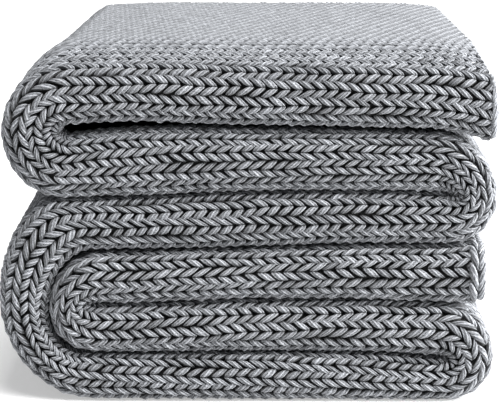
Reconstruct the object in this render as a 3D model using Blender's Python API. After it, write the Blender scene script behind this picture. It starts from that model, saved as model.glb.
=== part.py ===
"""Chunky knit blanket, folded for storage.

One knitted throw is folded in four along its length into a soft strip of four sheets, and the
strip is then folded back and forth into a stack of six layers. The whole blanket is one solid: the
strip's cross-section, with its nested folds, swept along the path of the layers.

The strip's plus side and minus side are its two broad faces. Layers are numbered from the top.
Metres, +Z up, front of the stack at -Y, origin at the middle of the base.
"""
import math
from collections import namedtuple

import bpy
import bmesh
import numpy as np

MM = 0.001

# The knitted throw, laid flat
BLANKET_WIDTH = 1270 * MM
FOLDS_IN_WIDTH = 4
STRIP_DEPTH = BLANKET_WIDTH / FOLDS_IN_WIDTH

# Cross-section of the strip: four sheets. Levels are shares of half the strip's thickness, from its
# middle outwards: the outer sheets' two faces, then the inner sheets' two faces.
Faces = namedtuple("Faces", "outer_level inner_level nose_start nose_reach inner_nose_start inner_nose_reach "
                            "hairpin_crown hairpin_reach")
SKIN = Faces(1.0, 0.02, 0.0, 11.5 * MM, 13.8 * MM, 2.0 * MM, STRIP_DEPTH, 7.0 * MM)
LINING = Faces(0.53, 0.49, 6.6 * MM, 6.5 * MM, 7.2 * MM, 6.0 * MM, STRIP_DEPTH - 7.0 * MM, 2.0 * MM)
NOSE_SQUARENESS = 2.4
NOSE_STEPS = 8
INNER_NOSE_STEPS = 2
HAIRPIN_STEPS = 4
SPAN_DEPTHS = (28 * MM, 57 * MM)
INNER_SELVEDGE_SETBACK = 3 * MM
OUTER_SELVEDGE_SETBACK = 8 * MM

# The top layer is not pressed down. It rises behind the nose and sinks gently to the back.
LOFT_HEIGHT = 11 * MM
LOFT_CREST_DEPTH = 57 * MM
LOFT_FALL_TO_BACK = 9 * MM
SHOULDER_DROOP = 12 * MM
SHOULDER_DROOP_DEPTH = 150 * MM
TOP_EDGE_PULL = 10 * MM
TOP_EDGE_PULL_AT_BACK = 3 * MM
TOP_EDGE_PULL_LENGTH = 40 * MM
TOP_EDGE_PULL_DEPTH = 24 * MM

# Seams between layers: height in mm at each place across the front, and the open gap at each side
Seam = namedtuple("Seam", "left_end left middle right right_end tip gap_left gap_right")
SEAM_PLACES = (-111, -61, 1, 63, 113, 133)
SEAMS = {
    "floor": Seam(0, 0, 0, 0, 0, 0, 0, 0),
    "under 5": Seam(25.5, 24.5, 25.5, 25.0, 22.5, 22, 1.4, 1.2),
    "under 4": Seam(53, 53, 54, 54, 52.5, 53, 1.2, 1.2),
    "under 3": Seam(82, 83, 83.5, 85, 85.5, 88, 2.0, 1.4),
    "under 2": Seam(110.5, 111.5, 114, 114.5, 114, 114, 1.2, 1.2),
    "under 1": Seam(146.5, 150, 149.5, 148.5, 145.5, 139.5, 4.0, 1.4),
    "top": Seam(179, 181, 181, 181, 180, 178, 0, 0),
}

# Layers in the order of the strip, with the direction in which the strip runs through them,
# how far each one's front and back stand out (mm), and the seams below and above
Layer = namedtuple("Layer", "direction below above front back")
LAYERS = (
    Layer(-1, "under 1", "top", 1.0, 0.5),
    Layer(+1, "under 2", "under 1", 0.0, -4.0),
    Layer(-1, "under 3", "under 2", -1.0, 0.0),
    Layer(+1, "floor", "under 5", 1.5, 1.5),
    Layer(-1, "under 5", "under 4", 0.0, -3.5),
    Layer(+1, "under 4", "under 3", 0.5, -2.5),
)

# Turns between those layers (mm): the crown of each face of the strip, and how far before and
# after the crown that face's bend begins and ends
Turn = namedtuple("Turn", "plus_x plus_z plus_before plus_after minus_x minus_z minus_before minus_after steps")
TURNS = (
    Turn(-130.5, 150, 34, 32, -100.0, 148, 5, 5, 6),
    Turn(110.5, 114, 8, 4, 133.0, 112, 35, 25, 6),
    Turn(-133.0, 56, 35, 52, -109.5, 48, 28, 20, 8),
    Turn(133.0, 24, 25, 28, 108.0, 22.5, 5, 5, 6),
    Turn(-87.0, 53, 6, 8, -106.5, 51, 25, 30, 6),
)
TOP_FREE_END = 131
LOWER_FREE_END = 128
RUN_SHARES = (0.0, 0.09, 0.25, 0.5, 0.75, 0.91, 1.0)

YARN_COLOUR = (0.235, 0.245, 0.258, 1.0)
YARN_ROUGHNESS = 0.95


def clear_scene():
    """Remove every object."""
    for item in list(bpy.data.objects):
        bpy.data.objects.remove(item, do_unlink=True)


def smooth_step(value):
    """Ease from 0 to 1."""
    value = np.clip(value, 0.0, 1.0)
    return value * value * (3.0 - 2.0 * value)


def seam_height(name, x):
    """Height of a seam at x (mm), on a smooth curve through its table row."""
    places = np.array(SEAM_PLACES, float)
    heights = np.array(SEAMS[name][:6], float)
    slopes = np.gradient(heights, places)
    x = np.clip(x, places[0], places[-1])
    row = np.clip(np.searchsorted(places, x) - 1, 0, len(places) - 2)
    span = places[row + 1] - places[row]
    t = (x - places[row]) / span
    return ((1 + 2 * t) * (1 - t) ** 2 * heights[row] + t * (1 - t) ** 2 * span * slopes[row]
            + t * t * (3 - 2 * t) * heights[row + 1] + t * t * (t - 1) * span * slopes[row + 1])


def half_gap(name, x):
    """Half the open gap at a seam (mm)."""
    seam = SEAMS[name]
    return 0.5 * np.interp(x, (-95, -30), (seam.gap_left, seam.gap_right))


def face_height(layer, plus, x):
    """Height of one face of a layer (mm). The plus face is the upper one where the strip runs left."""
    if plus == (layer.direction < 0):
        return seam_height(layer.above, x) - half_gap(layer.above, x)
    return seam_height(layer.below, x) + half_gap(layer.below, x)


def bend(layer, next_layer, plus, turn):
    """One face's two quarter ellipses round a turn, without the two end points that the runs give."""
    if plus:
        crown_x, crown_z, before, after = turn.plus_x, turn.plus_z, turn.plus_before, turn.plus_after
    else:
        crown_x, crown_z, before, after = turn.minus_x, turn.minus_z, turn.minus_before, turn.minus_after
    angle = 0.5 * math.pi * np.arange(1, turn.steps + 1) / turn.steps
    start_z = face_height(layer, plus, crown_x - layer.direction * before)
    end_z = face_height(next_layer, plus, crown_x - layer.direction * after)
    first = np.column_stack([crown_x - layer.direction * before * (1 - np.sin(angle)),
                             crown_z + (start_z - crown_z) * np.cos(angle)])
    second = np.column_stack([crown_x - layer.direction * after * (1 - np.sin(angle)),
                              crown_z + (end_z - crown_z) * np.cos(angle)])
    return np.vstack([first, second[-2:0:-1]]), second[0]


def strip_face(plus):
    """The line of one face of the strip from its top free end to its lower one, in x and z (mm)."""
    points = []
    for number, layer in enumerate(LAYERS):
        side = "plus" if plus else "minus"
        if number == 0:
            start = TOP_FREE_END
        else:
            turn = TURNS[number - 1]
            start = getattr(turn, side + "_x") + layer.direction * getattr(turn, side + "_after")
        if number == len(TURNS):
            end = LOWER_FREE_END
        else:
            turn = TURNS[number]
            end = getattr(turn, side + "_x") - layer.direction * getattr(turn, side + "_before")
        x = start + (end - start) * np.array(RUN_SHARES)
        points.append(np.column_stack([x, face_height(layer, plus, x)]))
        if number < len(TURNS):
            around, last = bend(layer, LAYERS[number + 1], plus, TURNS[number])
            points.append(np.vstack([around, last]))
    return np.vstack(points) * MM


def station_values():
    """For each station along the strip: how far the front and back stand out, loft and droop shares."""
    front, back, loft, droop = [], [], [], []
    run = len(RUN_SHARES)
    for number, layer in enumerate(LAYERS):
        front += [layer.front] * run
        back += [layer.back] * run
        loft += [1.0 if number == 0 else 0.0] * run
        droop += [0.0] * run
        if number < len(TURNS):
            count = 2 * TURNS[number].steps - 1
            share = np.arange(1, count + 1) / (count + 1)
            front += list(layer.front + (LAYERS[number + 1].front - layer.front) * share)
            back += list(layer.back + (LAYERS[number + 1].back - layer.back) * share)
            top_turn = 1.0 if number == 0 else 0.0
            loft += list(top_turn * (1.0 - smooth_step(2.0 * share)))
            droop += list(top_turn * np.sin(np.pi * np.clip(1.4 * share, 0.0, 1.0)))
    return np.array(front) * MM, np.array(back) * MM, np.array(loft), np.array(droop)


def nose(level, start, reach, steps):
    """A rounded fold at the front, from one level round to its opposite, as (depth, level) pairs."""
    pairs = []
    for step in range(steps + 1):
        turn = math.pi * step / steps
        rise = math.copysign(abs(math.cos(turn)) ** (2.0 / NOSE_SQUARENESS), math.cos(turn))
        depth = 1.0 - math.sin(turn) ** (2.0 / NOSE_SQUARENESS)
        pairs.append((start + reach * depth, level * rise))
    return pairs


def hairpin(faces):
    """The fold at the back that joins the outer and the inner sheet of the plus side."""
    middle = 0.5 * (faces.outer_level + faces.inner_level)
    half = 0.5 * (faces.outer_level - faces.inner_level)
    pairs = []
    for step in range(HAIRPIN_STEPS + 1):
        turn = math.pi * step / HAIRPIN_STEPS
        pairs.append((faces.hairpin_crown - faces.hairpin_reach * (1.0 - math.sin(turn)),
                      middle + half * math.cos(turn)))
    return pairs


def span(level, towards_back):
    """The points between nose and back of one face of a sheet."""
    depths = SPAN_DEPTHS if towards_back else SPAN_DEPTHS[::-1]
    return [(depth, level) for depth in depths]


def section_line(faces):
    """One face of the whole folded sheet, as (depth, level) pairs.

    It runs from the selvedge of the outer sheet on the minus side, round the nose, along the plus
    side to the hairpin, back inside, round the nested nose and out to the other selvedge.
    """
    line = [(STRIP_DEPTH - OUTER_SELVEDGE_SETBACK, -faces.outer_level)]
    line += span(-faces.outer_level, False)
    line += nose(faces.outer_level, faces.nose_start, faces.nose_reach, NOSE_STEPS)[::-1]
    line += span(faces.outer_level, True)
    line += hairpin(faces)
    line += span(faces.inner_level, False)
    line += nose(faces.inner_level, faces.inner_nose_start, faces.inner_nose_reach, INNER_NOSE_STEPS)
    line += span(-faces.inner_level, True)
    line += [(STRIP_DEPTH - INNER_SELVEDGE_SETBACK, -faces.inner_level)]
    return line


def loft_at(depth):
    """Extra height of the top layer at a depth from the front."""
    rise = LOFT_HEIGHT * np.sin(0.5 * np.pi * np.clip(depth / LOFT_CREST_DEPTH, 0.0, 1.0))
    fall = (depth - LOFT_CREST_DEPTH) / (STRIP_DEPTH - LOFT_CREST_DEPTH)
    return rise - LOFT_FALL_TO_BACK * np.clip(fall, 0.0, 1.0)


def droop_at(depth):
    """How far the top layer's left shoulder sinks, at a depth from the front."""
    return SHOULDER_DROOP * np.sin(0.5 * np.pi * np.clip(depth / SHOULDER_DROOP_DEPTH, 0.0, 1.0))


def pull_at(depth):
    """How far the top layer's upper free edge lies behind its lower one, at a depth."""
    steady = TOP_EDGE_PULL + (TOP_EDGE_PULL_AT_BACK - TOP_EDGE_PULL) * depth / STRIP_DEPTH
    return steady * smooth_step(depth / TOP_EDGE_PULL_DEPTH)


def blanket_points():
    """World points of the swept section, one row for each station along the strip."""
    plus = strip_face(True)
    minus = strip_face(False)
    front, back, loft, droop = station_values()
    ring = np.array(section_line(SKIN) + section_line(LINING)[::-1])
    depth = ring[:, 0][None, :]
    share = 0.5 * (ring[:, 1][None, :] + 1.0)
    across = plus - minus
    outward = across / np.linalg.norm(across, axis=1)[:, None]
    middle = 0.5 * (plus + minus)
    along = np.concatenate([[0.0], np.cumsum(np.linalg.norm(np.diff(middle, axis=0), axis=1))])
    extra = share * (loft[:, None] * loft_at(depth) - droop[:, None] * droop_at(depth))
    pull = share * pull_at(depth) * (1.0 - np.clip(along / TOP_EDGE_PULL_LENGTH, 0.0, 1.0))[:, None]
    x = minus[:, 0, None] + across[:, 0, None] * share + outward[:, 0, None] * extra - pull
    z = minus[:, 1, None] + across[:, 1, None] * share + outward[:, 1, None] * extra
    stretch = (STRIP_DEPTH + front + back)[:, None] / STRIP_DEPTH
    y = -0.5 * STRIP_DEPTH - front[:, None] + depth * stretch
    return np.stack([x, y, z], axis=2)


def make_blanket():
    """The blanket's one solid: rings of the section, bridged along the strip, with its two ends."""
    points = blanket_points()
    ring_size = points.shape[1]
    mesh = bmesh.new()
    rings = [[mesh.verts.new(point) for point in row] for row in points]
    for near, far in zip(rings[:-1], rings[1:]):
        for index in range(ring_size):
            after = (index + 1) % ring_size
            mesh.faces.new((near[index], near[after], far[after], far[index]))
    for end in (rings[0], rings[-1]):
        for index in range(ring_size // 2 - 1):
            mesh.faces.new((end[index], end[index + 1], end[-index - 2], end[-index - 1]))
    bmesh.ops.recalc_face_normals(mesh, faces=mesh.faces[:])
    bmesh.ops.triangulate(mesh, faces=mesh.faces[:])
    data = bpy.data.meshes.new("blanket")
    mesh.to_mesh(data)
    mesh.free()
    data.shade_smooth()
    data.set_sharp_from_angle(angle=math.radians(50))
    blanket = bpy.data.objects.new("blanket", data)
    bpy.context.collection.objects.link(blanket)
    return blanket


def knit_yarn():
    """Matt heather grey yarn."""
    material = bpy.data.materials.new("knit_yarn")
    material.use_nodes = True
    shader = material.node_tree.nodes["Principled BSDF"]
    shader.inputs["Base Color"].default_value = YARN_COLOUR
    shader.inputs["Roughness"].default_value = YARN_ROUGHNESS
    shader.inputs["Metallic"].default_value = 0.0
    return material


def main():
    """Build the folded blanket."""
    clear_scene()
    blanket = make_blanket()
    blanket.data.materials.append(knit_yarn())


main()
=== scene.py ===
"""The folded chunky knit blanket: its stitches, edges and yarn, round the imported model.

The cloth is one folded sheet. Every stitch that shows is a pair of plump yarn legs, laid on the
sheet along its courses and wales. The folds repeat the part's own tables, in millimetres there and
in metres elsewhere. The strip's plus and minus sides are its two broad faces.
"""
import math
from collections import namedtuple

import bpy
import numpy as np
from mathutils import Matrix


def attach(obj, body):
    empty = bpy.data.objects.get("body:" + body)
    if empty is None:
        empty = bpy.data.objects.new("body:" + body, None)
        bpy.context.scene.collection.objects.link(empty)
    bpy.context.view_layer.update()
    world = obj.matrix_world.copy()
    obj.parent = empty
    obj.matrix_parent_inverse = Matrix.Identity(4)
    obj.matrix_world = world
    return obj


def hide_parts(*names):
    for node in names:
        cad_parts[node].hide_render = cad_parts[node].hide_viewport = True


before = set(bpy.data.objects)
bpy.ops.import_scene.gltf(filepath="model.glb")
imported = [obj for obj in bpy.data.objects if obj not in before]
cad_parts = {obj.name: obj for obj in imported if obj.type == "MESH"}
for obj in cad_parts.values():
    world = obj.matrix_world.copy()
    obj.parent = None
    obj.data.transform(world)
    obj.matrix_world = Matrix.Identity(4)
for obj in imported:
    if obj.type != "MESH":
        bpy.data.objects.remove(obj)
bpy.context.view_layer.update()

MM = 0.001
RANDOM_SEED = 11

# The knitted throw, laid flat
BLANKET_WIDTH = 1270 * MM
FOLDS_IN_WIDTH = 4
STRIP_DEPTH = BLANKET_WIDTH / FOLDS_IN_WIDTH
COURSE = 6.7 * MM
WALES_IN_WIDTH = 157.0

# Cross-section of the strip, as in the part. Levels are shares of half the strip's thickness.
NOSE_SQUARENESS = 2.4
NOSE_REACH = 11.5 * MM
HAIRPIN_REACH = 7 * MM
SHEET_MIDDLE_LEVELS = (0.765, 0.255)
INNER_LEVEL = 0.02
INNER_SELVEDGE_SETBACK = 3 * MM
OUTER_SELVEDGE_SETBACK = 8 * MM

# The cloth under the stitches lies this far below the strip's faces
CLOTH_INSET = 3.9 * MM
CLOTH_LEVEL_INSET = 0.29
CLOTH_END_INSET = 3.2 * MM
Faces = namedtuple("Faces", "outer_level inner_level nose_start nose_reach "
                            "inner_nose_start inner_nose_reach hairpin_crown hairpin_reach")
SKIN = Faces(1.0 - CLOTH_LEVEL_INSET, INNER_LEVEL, CLOTH_INSET, 9.0 * MM, 13.8 * MM, 2.0 * MM,
             STRIP_DEPTH - CLOTH_INSET, 7.0 * MM)
LINING = Faces(0.53, 0.49, 6.6 * MM, 6.5 * MM, 7.2 * MM, 6.0 * MM, STRIP_DEPTH - 7.0 * MM, 2.0 * MM)

# The top layer's loft, shoulder and free edge, as in the part but for a little less fall and pull
LOFT_HEIGHT = 11 * MM
LOFT_CREST_DEPTH = 57 * MM
LOFT_FALL_TO_BACK = 7.8 * MM
SHOULDER_DROOP = 12 * MM
SHOULDER_DROOP_DEPTH = 150 * MM
TOP_EDGE_PULL = 6 * MM
TOP_EDGE_PULL_AT_BACK = 3 * MM
TOP_EDGE_PULL_LENGTH = 40 * MM
TOP_EDGE_PULL_DEPTH = 24 * MM

# Seams, layers and turns, as in the part but for the seams, which lie 1 or 2 mm higher because the
# stitches hang over them. Each layer also says how many wales go round its nose where the strip
# enters and leaves it, how far its wales are shifted, in wales, towards the plus side, and how
# long its courses are.
Seam = namedtuple("Seam", "left_end left middle right right_end tip gap_left gap_right")
SEAM_PLACES = (-111, -61, 1, 63, 113, 133)
SEAMS = {
    "floor": Seam(0, 0, 0, 0, 0, 0, 0, 0),
    "under 5": Seam(26.5, 25.7, 26.7, 26.2, 23.7, 22.6, 1.4, 1.2),
    "under 4": Seam(53.3, 53.6, 55.8, 55.8, 54, 54, 1.2, 1.2),
    "under 3": Seam(82, 83, 84.4, 86.4, 87, 89, 2.0, 1.4),
    "under 2": Seam(111.2, 112.5, 115.1, 115.6, 115, 114.6, 1.2, 1.2),
    "under 1": Seam(147.4, 151.1, 150.3, 149.2, 146.2, 140, 6.2, 2.8),
    "top": Seam(179, 181, 181, 181, 180, 178, 0, 0),
}
Layer = namedtuple("Layer", "direction below above front back nose_in nose_out shift_in shift_out course")
LAYERS = (
    Layer(-1, "under 1", "top", 1.0, 0.5, 5.1, 4.3, -0.55, -0.2, 6.4),
    Layer(+1, "under 2", "under 1", 0.0, -4.0, 5.6, 5.6, -0.4, -0.82, 6.4),
    Layer(-1, "under 3", "under 2", -1.0, 0.0, 4.4, 4.4, -0.17, -0.17, 6.5),
    Layer(+1, "floor", "under 5", 1.5, 1.5, 4.0, 4.0, -0.55, 0.3, 6.6),
    Layer(-1, "under 5", "under 4", 0.0, -3.5, 4.1, 4.1, 0.1, -0.45, 6.8),
    Layer(+1, "under 4", "under 3", 0.5, -2.5, 4.4, 4.5, -0.05, -0.45, 7.0),
)
Turn = namedtuple("Turn", "plus_x plus_z plus_before plus_after minus_x minus_z minus_before minus_after")
TURNS = (
    Turn(-130.5, 150, 34, 32, -100.0, 148, 5, 5),
    Turn(110.5, 114, 8, 4, 133.0, 112, 35, 25),
    Turn(-133.0, 56, 35, 52, -109.5, 48, 28, 20),
    Turn(133.0, 24, 25, 28, 108.0, 22.5, 5, 5),
    Turn(-87.0, 53, 6, 8, -106.5, 51, 25, 30),
)
TOP_FREE_END = 132
LOWER_FREE_END = 128
RUN_STEPS = 40
TURN_STEPS = 24

# Columns of the strip's table of values
FRONT, BACK, LOFT, DROOP, NOSE_WALES, WALE_SHIFT, PITCH, SWELL = range(8)

# Wales from the middle of the front to the hairpin at the back, and round the hairpin
WALES_TO_HAIRPIN = 39.25
HAIRPIN_WALES = 2.7

# Each wale's stitches lie this share of a course further along than those of the wale before it
COURSE_STAGGER = 0.6

# One leg of a stitch, a slanting bar whose ends lie along the middle and the side of its wale.
# Along is in courses and across in wales from the tip of the V, the rest in metres.
Leg = namedtuple("Leg", "sides rings plied jitter crease dashes fullness start_height")
# A leg's fifth and sixth values are painted shade: how much darker it is made down in its creases, and at
# its start between the stitches.
FINE_LEG = Leg(11, 6, True, 1.0, 9.0, 0.0, 1.0, 0.55)
SHOULDER_LEG = Leg(11, 6, True, 1.0, 5.5, 0.0, 1.05, 0.6)
CHAIN_LEG = Leg(11, 6, True, 1.0, 3.5, 0.0, 1.1, 0.55)
EDGE_LEG = Leg(8, 4, False, 1.0, 4.5, 0.0, 1.1, 0.55)
MIDDLE_LEG = Leg(6, 4, False, 0.5, 3.2, 9.0, 1.15, 0.66)
PLAIN_LEG = Leg(6, 3, False, 1.0, 6.0, 0.0, 1.0, 0.55)
HIDDEN_LEG = Leg(4, 3, False, 1.0, 6.0, 0.0, 1.0, 0.55)
# The darkest painted shade, and how sharply it gathers in the creases
DARKEST_SHADED_TONE = -8.8
CREASE_SHADE_SHARPNESS = 1.8
LEG_ARC = (-38.0, 218.0)
LEG_START = 0.22
LEG_RUN = 1.08
LEG_ACROSS = 0.6
LEG_END_DIP = 0.8
LEG_HALF_WIDTH = 0.44
LEG_TIP_CUT = -0.05
LEG_BLUNTNESS = 3.4
LEG_TAPER = 0.15
LEG_ROUNDNESS = 0.8
LEG_SWELL_AT_TURNS = 1.0 * MM
LEG_HALF_HEIGHT = 2.1 * MM
LEG_CREST = 0.6 * MM
# Depth below the crest over which painted shade darkens a leg's creases
CREASE_SHADE_DEPTH = 2.6 * MM
LEG_TUCK = 1.8 * MM
PLY_GROOVE = 0.24
PLY_TWIST = math.radians(16)

# The chain along each free end, and the edge stitches along the selvedges. A chain leans over its
# edge by the tilt, outward is where its middle lies past the edge, and raised is how far it lies
# above the cloth's face.
CHAIN_LINK = 8.1 * MM
CHAIN_WIDTH = 8.2 * MM
Chain = namedtuple("Chain", "tilt outward raised")
CAST_ON = Chain(math.radians(80), 0.5 * MM, 0.4 * MM)
BIND_OFF = Chain(math.radians(20), -3.4 * MM, CLOTH_INSET + 1.1 * MM)
INNER_EDGE = Chain(math.radians(90), 0.2 * MM, -3.2 * MM)
OUTER_SELVEDGE = Chain(math.radians(90), 1.9 * MM, 0.6 * MM)
INNER_SELVEDGE = Chain(math.radians(90), 1.9 * MM, -3.0 * MM)
CAST_ON_MARGIN = 3.0 * MM
BIND_OFF_MARGIN = 6.5 * MM

# Steps round the cloth's cross-section
CLOTH_STEPS = dict(nose_steps=16, inner_steps=4, flat_steps=10, hairpin_steps=8)

# The camera stands where the photograph was taken from
CAMERA_PLACE = (7.8 * MM, -1161.8 * MM, 323 * MM)
CAMERA_PITCH = math.radians(11.886)
CAMERA_TURN = math.radians(0.349)
LENS = 138.9
SENSOR_WIDTH = 36.0

# The studio
FLOOR_HALF_SIZE = 6.0
FLOOR_DROP = 0.0002
FLOOR_GLOW = 0.42
SURROUND_STRENGTH = 0.24
SUN_STRENGTH = 4.75
SUN_SPREAD = math.radians(35)
SIDE_LIGHT_SIZE = 1.2
SIDE_LIGHT_POWER = 58.0

# Where the patches of stitches meet, in wales from the middle of the front
FRONT_EDGE = 3.6
TOP_EDGE = 5.6
TURN_EDGE = 7.6
TURN_LEAD = 20 * MM


def smooth_step(value):
    """Ease from 0 to 1."""
    value = np.clip(value, 0.0, 1.0)
    return value * value * (3.0 - 2.0 * value)


def seam_height(name, x):
    """Height of a seam at x (mm), on a smooth curve through its table row."""
    places = np.array(SEAM_PLACES, float)
    heights = np.array(SEAMS[name][:6], float)
    slopes = np.gradient(heights, places)
    x = np.clip(x, places[0], places[-1])
    row = np.clip(np.searchsorted(places, x) - 1, 0, len(places) - 2)
    span = places[row + 1] - places[row]
    t = (x - places[row]) / span
    return ((1 + 2 * t) * (1 - t) ** 2 * heights[row] + t * (1 - t) ** 2 * span * slopes[row]
            + t * t * (3 - 2 * t) * heights[row + 1] + t * t * (t - 1) * span * slopes[row + 1])


def half_gap(name, x):
    """Half the open gap at a seam (mm)."""
    seam = SEAMS[name]
    return 0.5 * np.interp(x, (-95, -30), (seam.gap_left, seam.gap_right))


def face_height(layer, plus, x):
    """Height of one face of a layer (mm). The plus face is the upper one where the strip runs left."""
    if plus == (layer.direction < 0):
        return seam_height(layer.above, x) - half_gap(layer.above, x)
    return seam_height(layer.below, x) + half_gap(layer.below, x)


def bend(layer, next_layer, plus, turn):
    """One face's two quarter ellipses round a turn, without the two end points that the runs give."""
    if plus:
        crown_x, crown_z, before, after = turn.plus_x, turn.plus_z, turn.plus_before, turn.plus_after
    else:
        crown_x, crown_z, before, after = turn.minus_x, turn.minus_z, turn.minus_before, turn.minus_after
    angle = 0.5 * math.pi * np.arange(1, TURN_STEPS + 1) / TURN_STEPS
    start_z = face_height(layer, plus, crown_x - layer.direction * before)
    end_z = face_height(next_layer, plus, crown_x - layer.direction * after)
    first = np.column_stack([crown_x - layer.direction * before * (1 - np.sin(angle)),
                             crown_z + (start_z - crown_z) * np.cos(angle)])
    second = np.column_stack([crown_x - layer.direction * after * (1 - np.sin(angle)),
                              crown_z + (end_z - crown_z) * np.cos(angle)])
    return np.vstack([first, second[-2::-1]])


def strip_face(plus):
    """The line of one face of the strip from its top free end to its lower one, in x and z."""
    side = "plus" if plus else "minus"
    points = []
    for number, layer in enumerate(LAYERS):
        start, end = TOP_FREE_END, LOWER_FREE_END
        if number > 0:
            turn = TURNS[number - 1]
            start = getattr(turn, side + "_x") + layer.direction * getattr(turn, side + "_after")
        if number < len(TURNS):
            turn = TURNS[number]
            end = getattr(turn, side + "_x") - layer.direction * getattr(turn, side + "_before")
        x = np.linspace(start, end, RUN_STEPS)
        points.append(np.column_stack([x, face_height(layer, plus, x)]))
        if number < len(TURNS):
            points.append(bend(layer, LAYERS[number + 1], plus, TURNS[number]))
    return np.vstack(points) * MM


class Strip:
    """The folded strip's lines and values at close stations along it."""

    def __init__(self):
        self.plus = strip_face(True)
        self.minus = strip_face(False)
        middle = 0.5 * (self.plus + self.minus)
        steps = np.linalg.norm(np.diff(middle, axis=0), axis=1)
        self.along = np.concatenate([[0.0], np.cumsum(steps)])
        self.length = self.along[-1]
        self.values = self.layer_values()
        pitch = 0.5 * (self.values[1:, PITCH] + self.values[:-1, PITCH])
        self.courses = np.concatenate([[0.0], np.cumsum(steps / pitch)])
        self.turn_starts = []
        self.turn_ends = []
        for number in range(len(TURNS)):
            first = (number + 1) * RUN_STEPS + number * (2 * TURN_STEPS - 1)
            self.turn_starts.append(self.along[first])
            self.turn_ends.append(self.along[first + 2 * TURN_STEPS - 2])

    @staticmethod
    def layer_values():
        """Front, back, loft, droop, nose wales, wale shift, course and swell at each station."""
        rows = []
        for number, layer in enumerate(LAYERS):
            share = np.linspace(0.0, 1.0, RUN_STEPS)[:, None]
            own = [layer.front * MM, layer.back * MM, 1.0 if number == 0 else 0.0, 0.0]
            rows.append(np.hstack([
                np.tile(own, (RUN_STEPS, 1)),
                layer.nose_in + (layer.nose_out - layer.nose_in) * share,
                layer.shift_in + (layer.shift_out - layer.shift_in) * share,
                np.full((RUN_STEPS, 1), layer.course * MM),
                np.zeros((RUN_STEPS, 1)),
            ]))
            if number == len(TURNS):
                continue
            share = np.arange(1, 2 * TURN_STEPS)[:, None] / (2.0 * TURN_STEPS)
            after = LAYERS[number + 1]
            top_turn = 1.0 if number == 0 else 0.0
            rows.append(np.hstack([
                (layer.front + (after.front - layer.front) * share) * MM,
                (layer.back + (after.back - layer.back) * share) * MM,
                top_turn * (1.0 - smooth_step(2.0 * share)),
                top_turn * np.sin(np.pi * np.clip(1.4 * share, 0.0, 1.0)),
                layer.nose_out + (after.nose_in - layer.nose_out) * share,
                layer.shift_out + (after.shift_in - layer.shift_out) * share,
                (layer.course + (after.course - layer.course) * share) * MM,
                LEG_SWELL_AT_TURNS * np.sin(np.pi * share),
            ]))
        return np.vstack(rows)

    def value(self, column, v):
        """One of the layer values at distances v along the strip."""
        return np.interp(v, self.along, self.values[:, column])

    def point(self, depth, level, v):
        """World points at depths from the front, levels and distances along the strip."""
        px = np.interp(v, self.along, self.plus[:, 0])
        pz = np.interp(v, self.along, self.plus[:, 1])
        mx = np.interp(v, self.along, self.minus[:, 0])
        mz = np.interp(v, self.along, self.minus[:, 1])
        front, back, loft, droop = (self.value(column, v) for column in (FRONT, BACK, LOFT, DROOP))
        share = 0.5 * (level + 1.0)
        thickness = np.hypot(px - mx, pz - mz)
        extra = share * (loft * loft_at(depth) - droop * droop_at(depth)) / thickness
        pull = share * pull_at(depth) * (1.0 - np.clip(v / TOP_EDGE_PULL_LENGTH, 0.0, 1.0))
        x = mx + (px - mx) * (share + extra) - pull
        z = mz + (pz - mz) * (share + extra)
        y = -0.5 * STRIP_DEPTH - front + depth * (STRIP_DEPTH + front + back) / STRIP_DEPTH
        return np.stack([x, y, z], axis=-1)


def loft_at(depth):
    """Extra height of the top layer at a depth from the front."""
    rise = LOFT_HEIGHT * np.sin(0.5 * np.pi * np.clip(depth / LOFT_CREST_DEPTH, 0.0, 1.0))
    fall = (depth - LOFT_CREST_DEPTH) / (STRIP_DEPTH - LOFT_CREST_DEPTH)
    return rise - LOFT_FALL_TO_BACK * np.clip(fall, 0.0, 1.0)


def droop_at(depth):
    """How far the top layer's left shoulder sinks, at a depth from the front."""
    return SHOULDER_DROOP * np.sin(0.5 * np.pi * np.clip(depth / SHOULDER_DROOP_DEPTH, 0.0, 1.0))


def pull_at(depth):
    """How far the top layer's upper free edge lies behind its lower one, at a depth."""
    steady = TOP_EDGE_PULL + (TOP_EDGE_PULL_AT_BACK - TOP_EDGE_PULL) * depth / STRIP_DEPTH
    return steady * smooth_step(depth / TOP_EDGE_PULL_DEPTH)


def rounded_fold(turn):
    """A fold's outline at an angle from its plus end: how far it is drawn back, and its height share."""
    rise = np.sign(np.cos(turn)) * np.abs(np.cos(turn)) ** (2.0 / NOSE_SQUARENESS)
    back = 1.0 - np.abs(np.sin(turn)) ** (2.0 / NOSE_SQUARENESS)
    return back, rise


def nose_line():
    """The front fold from its middle to its plus end: share of its length, depth and level."""
    back, rise = rounded_fold(np.linspace(0.5 * math.pi, 0.0, 80))
    typical_half_thickness = 14 * MM
    steps = np.hypot(np.diff(back * NOSE_REACH), np.diff(rise * typical_half_thickness))
    run = np.concatenate([[0.0], np.cumsum(steps)])
    return run / run[-1], back * NOSE_REACH, rise


NOSE_SHARE, NOSE_DEPTHS, NOSE_LEVELS = nose_line()


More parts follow.
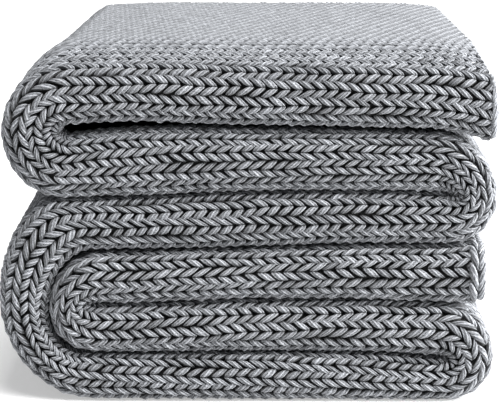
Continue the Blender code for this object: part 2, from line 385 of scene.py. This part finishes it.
def skin_place(strip, wale, v):
    """Depth and level of the strip's outer skin at wales from the middle of the front."""
    half_nose = 0.5 * strip.value(NOSE_WALES, v)
    size = np.abs(wale)
    side = np.where(wale < 0.0, -1.0, 1.0)
    share = np.clip(size / half_nose, 0.0, 1.0)
    depth = np.interp(share, NOSE_SHARE, NOSE_DEPTHS)
    level = side * np.interp(share, NOSE_SHARE, NOSE_LEVELS)
    flat = (size - half_nose) / (WALES_TO_HAIRPIN - half_nose)
    flat_depth = NOSE_REACH + flat * (STRIP_DEPTH - HAIRPIN_REACH - NOSE_REACH)
    depth = np.where(size > half_nose, flat_depth, depth)
    turn = np.pi * np.clip((wale - WALES_TO_HAIRPIN) / HAIRPIN_WALES, 0.0, 1.0)
    round_back = wale > WALES_TO_HAIRPIN
    middle = 0.5 * (1.0 + INNER_LEVEL)
    depth = np.where(round_back, STRIP_DEPTH - HAIRPIN_REACH * (1.0 - np.sin(turn)), depth)
    level = np.where(round_back, middle + (1.0 - middle) * np.cos(turn), level)
    return depth, level


def skin_point(strip, wale, v, height):
    """World points at a height above the strip's outer skin."""
    step_wale, step_v = 0.02, 0.2 * MM

    def at(w, s):
        depth, level = skin_place(strip, w, s)
        return strip.point(depth, level, s)

    here = at(wale, v)
    across = at(wale + step_wale, v) - at(wale - step_wale, v)
    ahead = at(wale, v + step_v) - at(wale, v - step_v)
    normal = np.cross(across, ahead)
    normal /= np.maximum(np.linalg.norm(normal, axis=-1, keepdims=True), 1e-12)
    return here + normal * height[..., None]


def leg_shape(leg):
    """One leg in its own axes: for each ring, how far along it is, its size, and its height."""
    t = (np.arange(leg.rings) + 0.5) / leg.rings
    t = 0.5 * (t + smooth_step(t))
    width = (1.0 - np.abs(2.0 * t - 1.0) ** LEG_BLUNTNESS) ** (1.0 / LEG_BLUNTNESS)
    width = width * (1.0 - LEG_TAPER * t * t)
    crest = 0.42
    fall = np.where(t < crest, (1.0 - leg.start_height) * (1.0 - t / crest) ** 2.2,
                    LEG_END_DIP * ((t - crest) / (1.0 - crest)) ** 2.2)
    return t, width, 1.0 - fall


def leg_faces(leg):
    """Faces of one leg, and each face corner's place along and around it. Two poles come first."""
    faces, corners = [], []
    for side in range(leg.sides):
        after = (side + 1) % leg.sides
        a, b = side / leg.sides, (side + 1) / leg.sides
        faces.append((0, 2 + after, 2 + side))
        corners.append(((0.0, 0.5 * (a + b)), (0.1, b), (0.1, a)))
        last = 2 + (leg.rings - 1) * leg.sides
        faces.append((1, last + side, last + after))
        corners.append(((1.0, 0.5 * (a + b)), (0.9, a), (0.9, b)))
        for ring in range(leg.rings - 1):
            low = 2 + ring * leg.sides
            high = low + leg.sides
            u, w = 0.1 + 0.8 * ring / (leg.rings - 1), 0.1 + 0.8 * (ring + 1) / (leg.rings - 1)
            faces.append((low + side, low + after, high + after, high + side))
            corners.append(((u, a), (u, b), (w, b), (w, a)))
    return faces, corners


def leg_points(leg, side, rng, count):
    """Points of many legs of one side of the V: courses along, wales across, and heights."""
    t, width, height = leg_shape(leg)
    arc = np.radians(np.linspace(*LEG_ARC, leg.sides))
    ply = np.ones((count, 1, leg.sides))
    if leg.plied:
        ply[:, :, 0::2] -= PLY_GROOVE
        ply += rng.normal(0.0, 0.06, ply.shape)
    lean = rng.normal(0.0, 0.09 * leg.jitter, (count, 1, 1))
    plump = rng.normal(1.0, 0.07 * leg.jitter, (count, 1, 1))
    t, width, height = (row[None, :, None] for row in (t, width, height))
    turned = arc[None, None, :] + (PLY_TWIST if leg.plied else 0.0) * (t - 0.5)
    along = LEG_START + LEG_RUN * t + lean * (t - 0.5)
    flank, top = (np.sign(part) * np.abs(part) ** LEG_ROUNDNESS for part in (np.cos(turned), np.sin(turned)))
    along = along + LEG_HALF_WIDTH * leg.fullness * plump * ply * width * flank
    along = np.maximum(along, LEG_TIP_CUT)
    across = LEG_ACROSS * t
    centre = LEG_CREST - LEG_HALF_HEIGHT - LEG_TUCK * (1.0 - height)
    up = centre + LEG_HALF_HEIGHT * plump * ply * (0.3 + 0.7 * height) * top
    shape = (count, leg.rings, leg.sides)
    along = np.broadcast_to(along, shape).reshape(count, -1)
    across = np.broadcast_to(across, shape).reshape(count, -1) * side
    up = np.broadcast_to(up, shape).reshape(count, -1)
    ends = [np.tile(pair, (count, 1)) for pair in ((LEG_START, LEG_START + LEG_RUN),
                                                   (0.004 * side, (LEG_ACROSS + 0.01) * side),
                                                   (up[:, :leg.sides].mean(), up[:, -leg.sides:].mean()))]
    return tuple(np.concatenate(pair, axis=1) for pair in zip(ends, (along, across, up)))


def mesh_object(name, points, faces, corners, tones_and_shade, material, smooth):
    """A mesh of many equal pieces. Points: piece, corner, xyz. Faces and corners are one piece's."""
    count, size = points.shape[:2]
    loops = np.concatenate([np.array(face) for face in faces])
    totals = np.array([len(face) for face in faces])
    all_loops = (loops[None, :] + size * np.arange(count)[:, None]).reshape(-1)
    all_totals = np.tile(totals, count)
    mesh = bpy.data.meshes.new(name)
    mesh.vertices.add(count * size)
    mesh.vertices.foreach_set("co", points.reshape(-1).astype(np.float32))
    mesh.loops.add(len(all_loops))
    mesh.loops.foreach_set("vertex_index", all_loops.astype(np.int32))
    mesh.polygons.add(len(all_totals))
    starts = np.concatenate([[0], np.cumsum(all_totals)[:-1]])
    mesh.polygons.foreach_set("loop_start", starts.astype(np.int32))
    layer = mesh.uv_layers.new(name="yarn")
    own = np.concatenate([np.array(corner) for corner in corners])
    offsets = np.stack([np.arange(count) % 97, np.arange(count) // 97], axis=1) * 2.0
    uv = own[None, :, :] + offsets[:, None, :]
    layer.data.foreach_set("uv", uv.reshape(-1).astype(np.float32))
    # Each point's tone: the leg's own lightness, and the painted shade in its creases and at its start
    tone_and_shade = mesh.attributes.new("tone_and_shade", "FLOAT", "POINT")
    tone_and_shade.data.foreach_set("value", tones_and_shade.reshape(-1).astype(np.float32))
    mesh.update(calc_edges=True)
    mesh.validate()
    if smooth:
        mesh.shade_smooth()
    mesh.materials.append(material)
    piece = bpy.data.objects.new(name, mesh)
    bpy.context.scene.collection.objects.link(piece)
    return piece


def leg_tones_and_shade(leg, up, rng):
    """Lightness of each point of many legs: each leg's own tone, and painted shade that darkens it down in
    the creases.
    """
    crease = np.clip((LEG_CREST - up) / CREASE_SHADE_DEPTH, 0.0, 1.0)
    tones_and_shade = rng.normal(0.0, leg.jitter, (len(up), 1)) - leg.crease * crease ** CREASE_SHADE_SHARPNESS
    return np.maximum(tones_and_shade, DARKEST_SHADED_TONE)


def painted_dash_shade(leg, wale, rng):
    """How much painted shade darkens the legs' starts, down between the stitches, which makes broken dark
    lines along the wales.
    """
    row = 0.65 + 0.35 * np.sin(2.3 * wale)
    amount = leg.dashes * row * rng.random(len(wale)) ** 1.5
    starts = np.repeat(smooth_step((0.45 - leg_shape(leg)[0]) / 0.3), leg.sides)
    return amount[:, None] * np.concatenate([[1.0, 0.0], starts])


def stitch_piece(name, strip, leg, patches, material, rng):
    """Stitches over patches of the skin. A patch is first and last distance and first and last wale."""
    parts, tones_and_shade = [], []
    for first_v, last_v, first_wale, last_wale in patches:
        first, last = np.round(np.interp((first_v, last_v), strip.along, strip.courses))
        courses = np.arange(first, last)
        wales = np.arange(math.ceil(first_wale), math.floor(last_wale) + 1)
        course, wale = (grid.reshape(-1) for grid in np.meshgrid(courses, wales))
        course = course + (COURSE_STAGGER * wale) % 1.0 - 0.5
        for side in (-1.0, 1.0):
            along, across, up = leg_points(leg, side, rng, len(course))
            v = np.interp(course[:, None] + along, strip.courses, strip.along)
            v = np.clip(v, CAST_ON_MARGIN, strip.length - BIND_OFF_MARGIN)
            wobble = 0.05 * np.sin(0.9 * course + 2.1 * wale) + 0.08 * np.sin(
                0.19 * course + 1.4 * wale + 2.0 * np.sin(1.9 * wale))
            column = wale[:, None] + across + wobble[:, None] + strip.value(WALE_SHIFT, v)
            parts.append(skin_point(strip, column, v, up + strip.value(SWELL, v)))
            # Each leg's own tone, with painted shade down in its creases and, where the leg asks for it, at
            # its start
            tone_and_shade = leg_tones_and_shade(leg, up, rng)
            if leg.dashes:
                tone_and_shade = np.maximum(tone_and_shade - painted_dash_shade(leg, wale, rng), DARKEST_SHADED_TONE)
            tones_and_shade.append(tone_and_shade)
    points = np.concatenate(parts)
    points[..., 2] = np.maximum(points[..., 2], 0.0)
    faces, corners = leg_faces(leg)
    return mesh_object(name, points, faces, corners, np.concatenate(tones_and_shade), material, not leg.plied)


def chain_piece(name, leg, chains, path, normals, outwards, material, rng):
    """A chain of stitches along a path, tilted over the edge that faces outwards.

    Chains holds the tilt, outward and raised values at each point of the path.
    """
    run = np.concatenate([[0.0], np.cumsum(np.linalg.norm(np.diff(path, axis=0), axis=1))])
    links = np.arange(math.floor(run[-1] / CHAIN_LINK - 0.3))
    parts, tones_and_shade = [], []
    for side in (-1.0, 1.0):
        along, across, up = leg_points(leg, side, rng, len(links))
        place = run[-1] - (links[:, None] + 0.15 + along) * CHAIN_LINK
        place = np.clip(place, 0.0, run[-1])
        spot, normal, outward = (
            np.stack([np.interp(place, run, values[:, axis]) for axis in range(3)], axis=-1)
            for values in (path, normals, outwards))
        tilt, past, raised = (np.interp(place, run, column)[..., None] for column in chains.T)
        spot = spot + outward * past + normal * raised
        flat = np.cos(tilt) * outward - np.sin(tilt) * normal
        steep = np.sin(tilt) * outward + np.cos(tilt) * normal
        parts.append(spot + flat * across[..., None] * CHAIN_WIDTH + steep * up[..., None])
        tones_and_shade.append(leg_tones_and_shade(leg, up, rng))
    points = np.concatenate(parts)
    points[..., 2] = np.maximum(points[..., 2], 0.0)
    faces, corners = leg_faces(leg)
    return mesh_object(name, points, faces, corners, np.concatenate(tones_and_shade), material, not leg.plied)


def unit(vectors):
    """Vectors of length 1."""
    return vectors / np.maximum(np.linalg.norm(vectors, axis=-1, keepdims=True), 1e-12)


def end_chain(name, strip, chain, at_start, material, rng):
    """The cast-on or bind-off chain round the whole line of the folded sheet at a free end."""
    skin, lining = (np.array(section_line(faces, **CLOTH_STEPS)) for faces in (SKIN, LINING))
    v = np.full(len(skin), 0.0 if at_start else strip.length)
    inward = 3.0 * MM if at_start else -3.0 * MM
    path = strip.point(skin[:, 0], skin[:, 1], v)
    normals = unit(path - strip.point(lining[:, 0], lining[:, 1], v))
    outwards = unit(path - strip.point(skin[:, 0], skin[:, 1], v + inward))
    outside = np.arange(len(skin)) < 0.5 * len(skin)
    chains = np.where(outside[:, None], np.array(chain), np.array(INNER_EDGE))
    return chain_piece(name, CHAIN_LEG, chains, path, normals, outwards, material, rng)


def selvedge_chain(name, strip, chain, index, material, rng):
    """The edge stitches along one selvedge, at the back of the stack."""
    skin, lining = (np.array(section_line(faces, **CLOTH_STEPS))[index] for faces in (SKIN, LINING))
    v = strip.along[(strip.along > CLOTH_END_INSET) & (strip.along < strip.length - CLOTH_END_INSET)]
    path, inside = (strip.point(np.full(len(v), depth), np.full(len(v), level), v)
                    for depth, level in (skin, lining))
    outwards = np.tile((0.0, 1.0, 0.0), (len(v), 1))
    chains = np.tile(chain, (len(v), 1))
    return chain_piece(name, EDGE_LEG, chains, path, unit(path - inside), outwards, material, rng)


def section_line(faces, nose_steps, inner_steps, flat_steps, hairpin_steps):
    """One face of the folded sheet from selvedge to selvedge, as depths and levels."""
    def span(level, start, end):
        return [(depth, level) for depth in np.linspace(start, end, flat_steps + 2)[1:-1]]

    def nose(level, start, reach, steps, from_plus):
        turns = np.linspace(0.0, math.pi, steps + 1)
        back, rise = rounded_fold(turns if from_plus else turns[::-1])
        return list(zip(start + reach * back, level * rise))

    turns = np.linspace(0.0, math.pi, hairpin_steps + 1)
    middle = 0.5 * (faces.outer_level + faces.inner_level)
    half = 0.5 * (faces.outer_level - faces.inner_level)
    hairpin = list(zip(faces.hairpin_crown - faces.hairpin_reach * (1.0 - np.sin(turns)),
                       middle + half * np.cos(turns)))
    outer_back = STRIP_DEPTH - OUTER_SELVEDGE_SETBACK - CLOTH_INSET
    inner_back = STRIP_DEPTH - INNER_SELVEDGE_SETBACK - CLOTH_INSET
    outer_nose = faces.nose_start + faces.nose_reach
    inner_nose = faces.inner_nose_start + faces.inner_nose_reach
    line = [(outer_back, -faces.outer_level)]
    line += span(-faces.outer_level, outer_back, outer_nose)
    line += nose(faces.outer_level, faces.nose_start, faces.nose_reach, nose_steps, False)
    line += span(faces.outer_level, outer_nose, hairpin[0][0])
    line += hairpin
    line += span(faces.inner_level, hairpin[-1][0], inner_nose)
    line += nose(faces.inner_level, faces.inner_nose_start, faces.inner_nose_reach, inner_steps, True)
    line += span(-faces.inner_level, inner_nose, inner_back)
    line += [(inner_back, -faces.inner_level)]
    return line


def make_cloth(strip, material, inside_material):
    """The knitted sheet under the stitches, closed and folded as the part is."""
    skin = section_line(SKIN, **CLOTH_STEPS)
    lining = section_line(LINING, **CLOTH_STEPS)
    ring = np.array(skin + lining[::-1])
    runs = strip.along[(strip.along > CLOTH_END_INSET) & (strip.along < strip.length - CLOTH_END_INSET)]
    v = np.concatenate([[CLOTH_END_INSET], runs[2:-2:2], [strip.length - CLOTH_END_INSET]])
    depth, across = np.meshgrid(ring[:, 0], v)
    level = np.broadcast_to(ring[:, 1], depth.shape)
    points = strip.point(depth, level, across)
    points[..., 2] = np.maximum(points[..., 2], 0.0)
    rows, size = points.shape[:2]
    faces = []
    for row in range(rows - 1):
        for index in range(size):
            after = (index + 1) % size
            faces.append((row * size + index, row * size + after,
                          (row + 1) * size + after, (row + 1) * size + index))
    half = size // 2
    for base, flip in ((0, False), ((rows - 1) * size, True)):
        for index in range(half - 1):
            face = (base + index, base + size - 1 - index, base + size - 2 - index, base + index + 1)
            faces.append(face[::-1] if flip else face)
    inside = [number % size >= half - 1 for number in range((rows - 1) * size)] + [True] * (2 * (half - 1))
    mesh = bpy.data.meshes.new("blanket_cloth")
    mesh.from_pydata(points.reshape(-1, 3).tolist(), [], faces)
    uv = mesh.uv_layers.new(name="yarn")
    wale_of = np.concatenate([np.arange(half), np.arange(half)[::-1] + 0.6]) * (WALES_IN_WIDTH / half)
    place = np.stack([np.broadcast_to(v[:, None] / COURSE, depth.shape),
                      np.broadcast_to(wale_of, depth.shape)], axis=-1).reshape(-1, 2)
    index = np.empty(len(mesh.loops), np.int32)
    mesh.loops.foreach_get("vertex_index", index)
    uv.data.foreach_set("uv", place[index].reshape(-1).astype(np.float32))
    mesh.shade_smooth()
    mesh.materials.append(material)
    mesh.materials.append(inside_material)
    mesh.polygons.foreach_set("material_index", np.array(inside, np.int32))
    cloth = bpy.data.objects.new("blanket_cloth", mesh)
    bpy.context.scene.collection.objects.link(cloth)
    return cloth


def yarn_material(name, dark, light, low, high, tone_and_shade_amount):
    """Heather grey plied yarn, from dark at the low end of its grain to light at the high end.

    The UV map runs along and around each leg of a stitch.
    """
    material = bpy.data.materials.new(name)
    material.use_nodes = True
    nodes, links = material.node_tree.nodes, material.node_tree.links
    shader = nodes["Principled BSDF"]
    shader.inputs["Roughness"].default_value = 0.85
    shader.inputs["Specular IOR Level"].default_value = 0.15
    shader.inputs["Sheen Weight"].default_value = 0.12
    shader.inputs["Sheen Roughness"].default_value = 0.5

    uv = nodes.new("ShaderNodeUVMap")
    uv.uv_map = "yarn"
    twist = nodes.new("ShaderNodeMapping")
    twist.inputs["Scale"].default_value = (1.0, 5.5, 1.0)
    links.new(uv.outputs["UV"], twist.inputs["Vector"])
    streak = nodes.new("ShaderNodeMapping")
    streak.inputs["Rotation"].default_value = (0.0, 0.0, math.radians(8))
    streak.inputs["Scale"].default_value = (8.0, 21.0, 1.0)
    links.new(uv.outputs["UV"], streak.inputs["Vector"])

    plies = nodes.new("ShaderNodeTexWave")
    plies.wave_type = "BANDS"
    plies.bands_direction = "Y"
    plies.inputs["Scale"].default_value = 0.1 * math.pi
    plies.inputs["Distortion"].default_value = 0.6
    plies.inputs["Detail"].default_value = 1.0
    plies.inputs["Detail Scale"].default_value = 1.0
    links.new(twist.outputs["Vector"], plies.inputs["Vector"])

    fibres = nodes.new("ShaderNodeTexNoise")
    fibres.inputs["Scale"].default_value = 1.3
    fibres.inputs["Detail"].default_value = 3.0
    fibres.inputs["Roughness"].default_value = 0.8
    links.new(streak.outputs["Vector"], fibres.inputs["Vector"])

    mixture = nodes.new("ShaderNodeMath")
    mixture.operation = "MULTIPLY_ADD"
    mixture.inputs[1].default_value = 0.15
    links.new(plies.outputs["Fac"], mixture.inputs[0])
    links.new(fibres.outputs["Fac"], mixture.inputs[2])
    heather = nodes.new("ShaderNodeValToRGB")
    heather.color_ramp.elements[0].position = low
    heather.color_ramp.elements[0].color = dark
    heather.color_ramp.elements[1].position = high
    heather.color_ramp.elements[1].color = light
    links.new(mixture.outputs["Value"], heather.inputs["Fac"])

    # The tone attribute scales the yarn's colour: each leg's own lightness, and painted shade down in its
    # creases and at its starts
    tone_and_shade = nodes.new("ShaderNodeAttribute")
    tone_and_shade.attribute_name = "tone_and_shade"
    brightness = nodes.new("ShaderNodeMath")
    brightness.operation = "MULTIPLY_ADD"
    brightness.inputs[1].default_value = tone_and_shade_amount
    brightness.inputs[2].default_value = 1.0
    links.new(tone_and_shade.outputs["Fac"], brightness.inputs[0])
    tinted = nodes.new("ShaderNodeVectorMath")
    tinted.operation = "SCALE"
    links.new(heather.outputs["Color"], tinted.inputs[0])
    links.new(brightness.outputs["Value"], tinted.inputs["Scale"])
    links.new(tinted.outputs["Vector"], shader.inputs["Base Color"])

    grooves = nodes.new("ShaderNodeBump")
    grooves.inputs["Strength"].default_value = 0.8
    grooves.inputs["Distance"].default_value = 0.6 * MM
    links.new(plies.outputs["Fac"], grooves.inputs["Height"])
    fuzz = nodes.new("ShaderNodeBump")
    fuzz.inputs["Strength"].default_value = 0.5
    fuzz.inputs["Distance"].default_value = 0.25 * MM
    links.new(fibres.outputs["Fac"], fuzz.inputs["Height"])
    links.new(grooves.outputs["Normal"], fuzz.inputs["Normal"])
    links.new(fuzz.outputs["Normal"], shader.inputs["Normal"])
    return material


def plain_material(name, colour, roughness):
    """A matt floor, faintly lit from within like a white studio sweep."""
    material = bpy.data.materials.new(name)
    material.use_nodes = True
    shader = material.node_tree.nodes["Principled BSDF"]
    shader.inputs["Base Color"].default_value = colour
    shader.inputs["Roughness"].default_value = roughness
    shader.inputs["Emission Color"].default_value = (1.0, 1.0, 1.0, 1.0)
    shader.inputs["Emission Strength"].default_value = FLOOR_GLOW
    return material


def make_floor():
    """A pale floor under the blanket."""
    half = FLOOR_HALF_SIZE
    mesh = bpy.data.meshes.new("floor")
    corners = [(-half, -half, 0), (half, -half, 0), (half, half, 0), (-half, half, 0)]
    mesh.from_pydata(corners, [], [(0, 1, 2, 3)])
    mesh.materials.append(plain_material("floor_white", (0.6, 0.6, 0.6, 1.0), 0.9))
    floor = bpy.data.objects.new("floor", mesh)
    floor.location.z = -FLOOR_DROP
    bpy.context.scene.collection.objects.link(floor)


def area_light(name, place, target, size, power):
    """A square soft light that faces a target."""
    light = bpy.data.lights.new(name, "AREA")
    light.shape = "SQUARE"
    light.size = size
    light.energy = power
    lamp = bpy.data.objects.new(name, light)
    lamp.location = place
    direction = np.array(target) - np.array(place)
    yaw = math.atan2(direction[0], direction[1])
    pitch = math.atan2(direction[2], math.hypot(direction[0], direction[1]))
    lamp.rotation_euler = (0.5 * math.pi + pitch, 0.0, -yaw)
    bpy.context.scene.collection.objects.link(lamp)


def make_lights():
    """Bright, soft studio light from above, with a white surround."""
    world = bpy.data.worlds.new("studio")
    world.use_nodes = True
    background = world.node_tree.nodes["Background"]
    background.inputs["Color"].default_value = (0.96, 0.98, 1.0, 1.0)
    background.inputs["Strength"].default_value = SURROUND_STRENGTH
    bpy.context.scene.world = world
    sky = bpy.data.lights.new("top_light", "SUN")
    sky.energy = SUN_STRENGTH
    sky.angle = SUN_SPREAD
    lamp = bpy.data.objects.new("top_light", sky)
    lamp.rotation_euler = (math.radians(22), math.radians(17), 0.0)
    bpy.context.scene.collection.objects.link(lamp)
    area_light("side_light", (1.2, -0.3, 0.5), (0.0, 0.0, 0.1), SIDE_LIGHT_SIZE, SIDE_LIGHT_POWER)


def make_camera():
    """The camera, level with the photograph's framing."""
    camera = bpy.data.cameras.new("camera")
    camera.lens = LENS
    camera.sensor_width = SENSOR_WIDTH
    camera.clip_end = 50.0
    item = bpy.data.objects.new("camera", camera)
    item.location = CAMERA_PLACE
    item.rotation_euler = (0.5 * math.pi - CAMERA_PITCH, 0.0, CAMERA_TURN)
    bpy.context.scene.collection.objects.link(item)
    bpy.context.scene.camera = item


def main():
    """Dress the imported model."""
    rng = np.random.default_rng(RANDOM_SEED)
    strip = Strip()
    length = strip.length
    dark, light = (0.014, 0.0147, 0.017, 1.0), (0.53, 0.548, 0.584, 1.0)
    yarn = yarn_material("yarn", dark, light, 0.41, 0.8, 0.11)
    top_yarn = yarn_material("yarn_on_top", dark, light, 0.24, 1.02, 0.11)
    shade_dark, shade_light = (0.007, 0.0073, 0.008, 1.0), (0.02, 0.0205, 0.022, 1.0)
    shade = yarn_material("yarn_in_shade", shade_dark, shade_light, 0.42, 0.82, 0.0)

    cloth = make_cloth(strip, shade, yarn)
    starts, ends = strip.turn_starts, strip.turn_ends
    middles = [0.5 * (starts[number + 1] + ends[number]) for number in range(3)]
    cuts = [0.0] + middles + [length]
    hairpin_end = WALES_TO_HAIRPIN + HAIRPIN_WALES
    pieces = []
    for number in range(4):
        patches = [(cuts[number], cuts[number + 1], -FRONT_EDGE, FRONT_EDGE)]
        if number == 2:
            patches.append((starts[2] - TURN_LEAD, ends[2], FRONT_EDGE, TURN_EDGE))
        pieces.append(stitch_piece(f"front_stitches_{number + 1}", strip, FINE_LEG, patches, yarn, rng))
    pieces.append(stitch_piece("shoulder_stitches", strip, SHOULDER_LEG,
                               [(0.0, ends[0], FRONT_EDGE, TOP_EDGE)], yarn, rng))
    pieces.append(stitch_piece("top_stitches", strip, MIDDLE_LEG,
                               [(0.0, starts[0], TOP_EDGE, WALES_TO_HAIRPIN)], top_yarn, rng))
    pieces.append(stitch_piece("left_stitches", strip, PLAIN_LEG,
                               [(starts[0], ends[0], TOP_EDGE, WALES_TO_HAIRPIN),
                                (starts[2] - TURN_LEAD, ends[2], TURN_EDGE, WALES_TO_HAIRPIN)], yarn, rng))
    pieces.append(stitch_piece("right_stitches", strip, PLAIN_LEG,
                               [(starts[1], ends[1], -38, -FRONT_EDGE),
                                (starts[3], ends[3], FRONT_EDGE, WALES_TO_HAIRPIN)], yarn, rng))
    pieces.append(stitch_piece("under_stitches", strip, HIDDEN_LEG,
                               [(ends[2], starts[3], FRONT_EDGE, WALES_TO_HAIRPIN)], yarn, rng))
    pieces.append(stitch_piece("back_stitches", strip, PLAIN_LEG,
                               [(0.0, length, WALES_TO_HAIRPIN, hairpin_end)], yarn, rng))
    pieces.append(end_chain("cast_on_chain", strip, CAST_ON, True, yarn, rng))
    pieces.append(end_chain("bind_off_chain", strip, BIND_OFF, False, yarn, rng))
    pieces.append(selvedge_chain("outer_selvedge", strip, OUTER_SELVEDGE, 0, yarn, rng))
    pieces.append(selvedge_chain("inner_selvedge", strip, INNER_SELVEDGE, -1, yarn, rng))

    for piece in [cloth] + pieces:
        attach(piece, "root")
    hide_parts("blanket")

    make_floor()
    make_lights()
    make_camera()
    bpy.context.scene.view_settings.view_transform = "Standard"


main()
